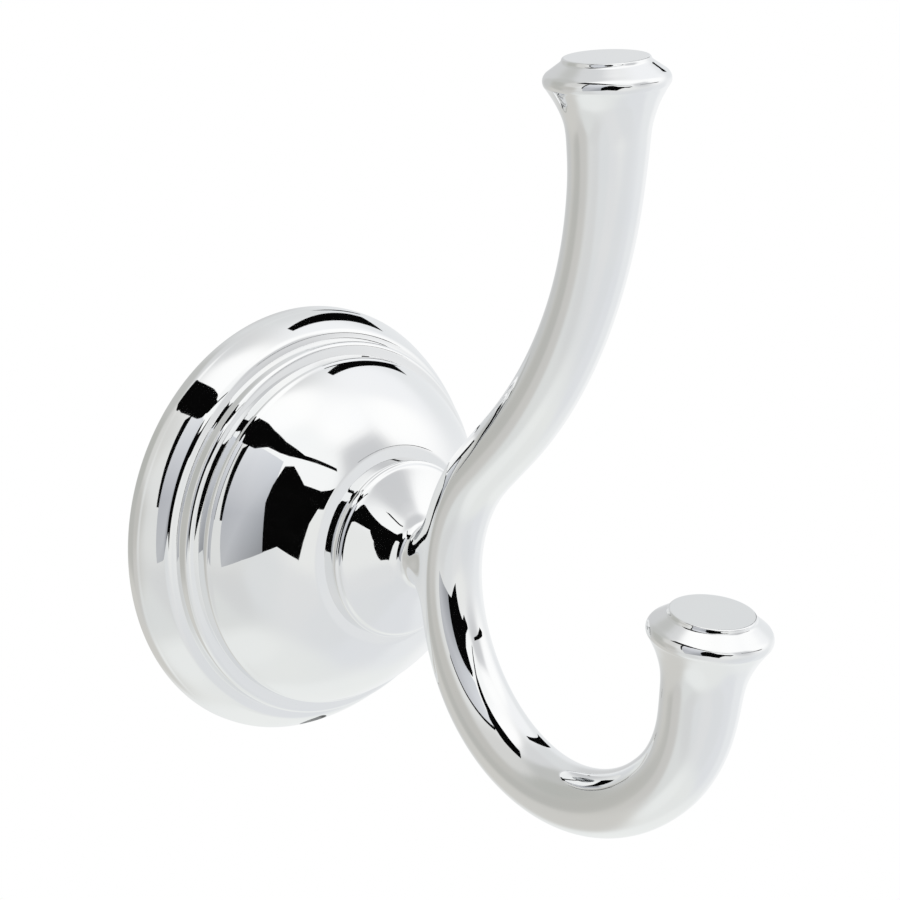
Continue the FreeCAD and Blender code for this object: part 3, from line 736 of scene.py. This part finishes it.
bore_line = [(spigot_end, BORE_RADIUS + CORNER_HOLD), (spigot_end + CORNER_HOLD, BORE_RADIUS),
             (BORE_END - CORNER_HOLD, BORE_RADIUS), (BORE_END, BORE_RADIUS - CORNER_HOLD),
             (BORE_END + BORE_POINT, CORNER_HOLD)]

neck_rings = [gap_loop] + [neck_ring(*ring) for ring in HOLLOW_RINGS]
neck_rings += [neck_ring(height, radius) for height, radius in collar_line]
neck_rings += [neck_ring(height, radius, 0.0, SPIGOT_FLATS / 2) for height, radius in spigot_line]
neck_rings += [neck_ring(height, radius) for height, radius in bore_line]
for ring, following in zip(neck_rings, neck_rings[1:]):
    bridge(ring, following)
cage_faces.append(tuple(neck_rings[-1]))

# %% [markdown]
# The cage becomes the casting by a subdivision surface, which leaves no seam between bar and neck, as in
# metal that ran into one mould. A real mirror would show the arms in the bell. The photograph doesn't, so
# mirror rays leave the hook out here.

# %% Smooth the hook
SMOOTHING = 2

hook = new_object("cast_hook", cage_points, cage_faces)
hook.data.materials.append(chrome)
smoothing = hook.modifiers.new("smooth_casting", "SUBSURF")
smoothing.levels = SMOOTHING
smoothing.render_levels = SMOOTHING
hook.visible_glossy = False
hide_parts("hook_arm")
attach(hook, "root")
print("cage points:", len(cage_points), "smooth faces:", len(cage_faces) * 4 ** SMOOTHING)

# %% [markdown]
# The solids that stay only need their finish: the dovetail plate, the screws and the washers.

# %% Finish of the solids that stay
for node, finish in (("mounting_plate", bare_zinc), ("grub_screw", stainless),
                     ("clamp_screw", plated_steel), ("plain_washer", plated_steel),
                     ("spring_washer", plated_steel)):
    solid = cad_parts[node]
    solid.data.materials.clear()
    solid.data.materials.append(finish)

# %% [markdown]
# Chrome shows the room, so the light is the look. A few lamps would leave a mirror dark with bright dots,
# so the room is built as large glowing sheets. Each place in it is a direction seen from the hook:
# azimuth from straight out of the wall, positive towards +X, and elevation above the horizon. One
# material lights all sheets, and each point of a sheet carries a tone of its own, which gives soft
# passages between tones.

# %% Glowing sheets
PANEL_POWER = 1.07


def direction(azimuth, elevation):
    """Unit vector of an azimuth and an elevation in degrees."""
    azimuth, elevation = math.radians(azimuth), math.radians(elevation)
    level = math.cos(elevation)
    return Vector((math.sin(azimuth) * level, -math.cos(azimuth) * level, math.sin(elevation)))


panel_light, panel_tree = new_material("studio_panel")
panel_tone = add_node(panel_tree, "ShaderNodeVertexColor", {"layer_name": "tone"})
panel_glow = add_node(panel_tree, "ShaderNodeEmission", None,
                      {"Color": panel_tone.outputs["Color"], "Strength": PANEL_POWER})
add_node(panel_tree, "ShaderNodeOutputMaterial", None, {"Surface": panel_glow.outputs["Emission"]})


def add_lit_sheet(name, points, faces, tones):
    """Sheet that glows with a tone of its own at each point, and shows only in mirrors."""
    mesh = bpy.data.meshes.new(name)
    mesh.from_pydata([tuple(point) for point in points], [], faces)
    colours = mesh.color_attributes.new("tone", "FLOAT_COLOR", "POINT")
    for place, tone in zip(colours.data, tones):
        place.color = (*tone[:3], 1.0)
    mesh.materials.append(panel_light)
    sheet = bpy.data.objects.new(name, mesh)
    bpy.context.collection.objects.link(sheet)
    sheet.visible_camera = False
    sheet.visible_diffuse = False
    sheet.visible_shadow = False


# %% [markdown]
# The backdrop is a large ball round the hook, warm grey behind the wall and white overhead. Its tones are
# pinned in some directions and blended in between, where the nearest pins count most. The directions and
# most of the tones were read from the reflections in the photograph. About a quarter of them were changed
# or added later, against the render. The tones of the grey card came about in the same way.

# %% Backdrop
BACKDROP_RADIUS = 2.2
BACKDROP_COLUMNS = 96
BACKDROP_ROWS = 48
TONE_REACH = 5.0
PIN_SOFTNESS = 1e-4
# Azimuth, elevation and tone
BACKDROP_TONES = [
    (-140, -14, "#B6B6B2"), (-150, -28, "#CBCAC6"), (-142, 20, "#B4B5B1"), (-160, 45, "#BDBEBC"),
    (180, 5, "#C2C3C2"), (160, 12, "#CCCDCE"), (180, 70, "#D4D5D6"), (-118, -28, "#C6C5C2"),
    (-112, 0, "#BFBEBA"), (-112, 30, "#D2D2D0"), (-98, -42, "#D9DBDA"), (-78, -32, "#D3D4D4"),
    (-83, -6, "#DBDCDB"), (-83, 22, "#DFE0DF"), (-52, -26, "#DADCDD"), (-25, -32, "#DDDEDF"),
    (10, -45, "#DADCDE"), (-15, -6, "#E6E7E6"), (45, -50, "#DDDFE2"), (80, -35, "#E5E7E9"),
    (110, -18, "#F0F1F2"), (-60, 82, "#FFFFFF"), (-28, 48, "#F7F8F8"), (-8, 31, "#F6F7F7"),
    (25, 50, "#FFFFFF"), (60, 35, "#FFFFFF"), (95, 45, "#F2F3F5"), (118, 8, "#E4E6E8"),
    (135, 45, "#D8DADB"), (24, 30, "#CACBCD"), (-155, -45, "#CBCAC6"), (130, -55, "#E9EBEA"),
    (-97, -69, "#E7E9E8"), (0, -88, "#E3E5E4"),
]


def backdrop_tone(place):
    """Tone of the backdrop in a direction, blended from the tones around it."""
    total = Vector((0.0, 0.0, 0.0))
    weights = 0.0
    for azimuth, elevation, hex_colour in BACKDROP_TONES:
        apart = place.angle(direction(azimuth, elevation))
        weight = 1 / (apart ** TONE_REACH + PIN_SOFTNESS)
        total += Vector(linear(hex_colour)[:3]) * weight
        weights += weight
    return total / weights


backdrop_points = []
backdrop_faces = []
for row in range(BACKDROP_ROWS + 1):
    elevation = 180 * row / BACKDROP_ROWS - 90
    for column in range(BACKDROP_COLUMNS):
        backdrop_points.append(direction(360 * column / BACKDROP_COLUMNS, elevation) * BACKDROP_RADIUS)
for row in range(BACKDROP_ROWS):
    for column in range(BACKDROP_COLUMNS):
        after = (column + 1) % BACKDROP_COLUMNS
        here = row * BACKDROP_COLUMNS
        above = here + BACKDROP_COLUMNS
        backdrop_faces.append((here + column, here + after, above + after, above + column))
backdrop_tones = [backdrop_tone(point) for point in backdrop_points]
add_lit_sheet("backdrop", backdrop_points, backdrop_faces, backdrop_tones)
print("tones of the backdrop:", len(BACKDROP_TONES), "points:", len(backdrop_points))

# %% [markdown]
# Beside the camera stands a card that fades from pale at its top to a middle grey at its lower right. It
# makes the cool grey patch on the left of the dome.

# %% Grey card
CARD_RADIUS = 2.1
# Azimuth, elevation and tone. The lower row runs from left to right, and so do the two rows above it
GREY_CARD = [
    (-84, -18, "#B9BBBE"), (-67, -13, "#A3A5A9"), (-50, -8, "#8C8E92"),
    (-84, 12, "#B3B5BA"), (-67, 14, "#BABCC1"), (-50, 12, "#A2A5AA"),
    (-83, 53, "#DEE0E3"), (-67, 53, "#DCDEE2"), (-40, 44, "#D2D5DA"),
]
GREY_CARD_FACES = [(0, 1, 4, 3), (1, 2, 5, 4), (3, 4, 7, 6), (4, 5, 8, 7)]

card_points = [direction(azimuth, elevation) * CARD_RADIUS for azimuth, elevation, hex_colour in GREY_CARD]
card_tones = [linear(hex_colour) for azimuth, elevation, hex_colour in GREY_CARD]
add_lit_sheet("grey_card", card_points, GREY_CARD_FACES, card_tones)
print("corners of the grey card:", len(card_points))

# %% [markdown]
# Photographers of chrome hang black cloth in the white room, because only something black gives a mirror
# its dark bands and with them its form. The large one stands in front and its arm reaches right, narrow
# strips edge the light overhead, and others stand left, low and right.

# %% Black flags
FLAG_RADIUS = 2.0
FLAG_BLACK = "#060606"
FLAGS = {
    "main_flag": [(-51, -8), (-51, 20), (-47, 30), (-38, 41), (-30, 40), (-21, 27), (-17, 16), (-16, 5),
                  (-20, -4), (-23, -13), (-30, -10), (-40, -5)],
    "main_flag_arm": [(-21, 27), (-8, 20), (4, 17), (4, 14), (-2, 8), (-10, 11), (-16, 5), (-17, 16)],
    "top_strip_left": [(-122, 66), (-100, 69), (-78, 69), (-60, 65), (-60, 54), (-75, 52), (-100, 52),
                       (-122, 52)],
    "top_strip_right": [(-60, 65), (-40, 57), (-20, 45), (4, 29), (4, 27), (-20, 42), (-35, 47),
                        (-45, 50), (-60, 54)],
    "side_strip": [(-86, 8), (-89, 50), (-83, 54), (-84, 8)],
    "low_strip": [(20, 24), (40, 20), (60, 13), (63, 10), (55, 10), (38, 18), (20, 22)],
    "right_flag": [(105, 62), (112, 62), (120, 36), (123, 16), (116, 16), (112, 38)],
}

for name, corners in FLAGS.items():
    flag_points = [direction(*corner) * FLAG_RADIUS for corner in corners]
    add_lit_sheet(name, flag_points, [tuple(range(len(corners)))], [linear(FLAG_BLACK)] * len(corners))
print("black flags:", len(FLAGS))

# %% [markdown]
# The hook hangs on a wall, so the floor is a large pale sheet far below it. To the camera the background
# is plain white, so the floor and the world answer camera rays with white.

# %% Floor and world
FLOOR_DROP = 2.1
FLOOR_SIZE = 6.0
PAPER = "#E9E9E8"
WHITE = "#FFFFFF"


def pale_floor():
    material, tree = new_material("pale_floor_paper")
    rays = add_node(tree, "ShaderNodeLightPath")
    paper = add_node(tree, "ShaderNodeBsdfDiffuse", None, {"Color": linear(PAPER)})
    white = add_node(tree, "ShaderNodeEmission", None, {"Color": linear(WHITE), "Strength": 1.0})
    seen = add_node(tree, "ShaderNodeMixShader", None,
                    {0: rays.outputs["Is Camera Ray"], 1: paper.outputs["BSDF"],
                     2: white.outputs["Emission"]})
    add_node(tree, "ShaderNodeOutputMaterial", None, {"Surface": seen.outputs["Shader"]})
    return material


half = FLOOR_SIZE / 2
floor_mesh = bpy.data.meshes.new("floor")
floor_mesh.from_pydata([(-half, -half, -FLOOR_DROP), (half, -half, -FLOOR_DROP),
                        (half, half, -FLOOR_DROP), (-half, half, -FLOOR_DROP)], [], [(0, 1, 2, 3)])
floor_mesh.materials.append(pale_floor())
floor = bpy.data.objects.new("floor", floor_mesh)
bpy.context.collection.objects.link(floor)
floor.visible_glossy = False

world = bpy.data.worlds.new("white_studio")
bpy.context.scene.world = world
world.use_nodes = True
world.node_tree.nodes.clear()
studio = add_node(world.node_tree, "ShaderNodeBackground", None,
                  {"Color": linear(WHITE), "Strength": 1.0})
add_node(world.node_tree, "ShaderNodeOutputWorld", None, {"Surface": studio.outputs["Background"]})

# %% [markdown]
# The camera stands where the photograph was taken from: a long lens to the left of the hook and a
# little above it. The place of the bell's centre in the picture fixes its aim.

# %% Camera
VIEW_AZIMUTH = -40.54
VIEW_ELEVATION = 14.07
VIEW_DISTANCE = 1500.0
FOCAL_PIXELS = 9990.0
PICTURE_SIDE = 900.0
BELL_PIXEL_X = 293.95
BELL_PIXEL_Y = 516.14
SENSOR_WIDTH = 36.0
NEAREST = 0.01
FARTHEST = 20.0

back = direction(VIEW_AZIMUTH, VIEW_ELEVATION)
right_hand = Vector((0, 0, 1)).cross(back).normalized()
upwards = back.cross(right_hand)
shift_right = (BELL_PIXEL_X - PICTURE_SIDE / 2) / FOCAL_PIXELS * VIEW_DISTANCE
shift_up = -(BELL_PIXEL_Y - PICTURE_SIDE / 2) / FOCAL_PIXELS * VIEW_DISTANCE
lens = bpy.data.cameras.new("camera")
lens.sensor_width = SENSOR_WIDTH
lens.lens = FOCAL_PIXELS / PICTURE_SIDE * SENSOR_WIDTH
lens.clip_start = NEAREST
lens.clip_end = FARTHEST
camera = bpy.data.objects.new("camera", lens)
bpy.context.collection.objects.link(camera)
camera.location = (back * VIEW_DISTANCE - right_hand * shift_right - upwards * shift_up) * MM
camera.rotation_euler = Matrix((right_hand, upwards, back)).transposed().to_euler()
scene = bpy.context.scene
scene.camera = camera
scene.view_settings.view_transform = "Standard"
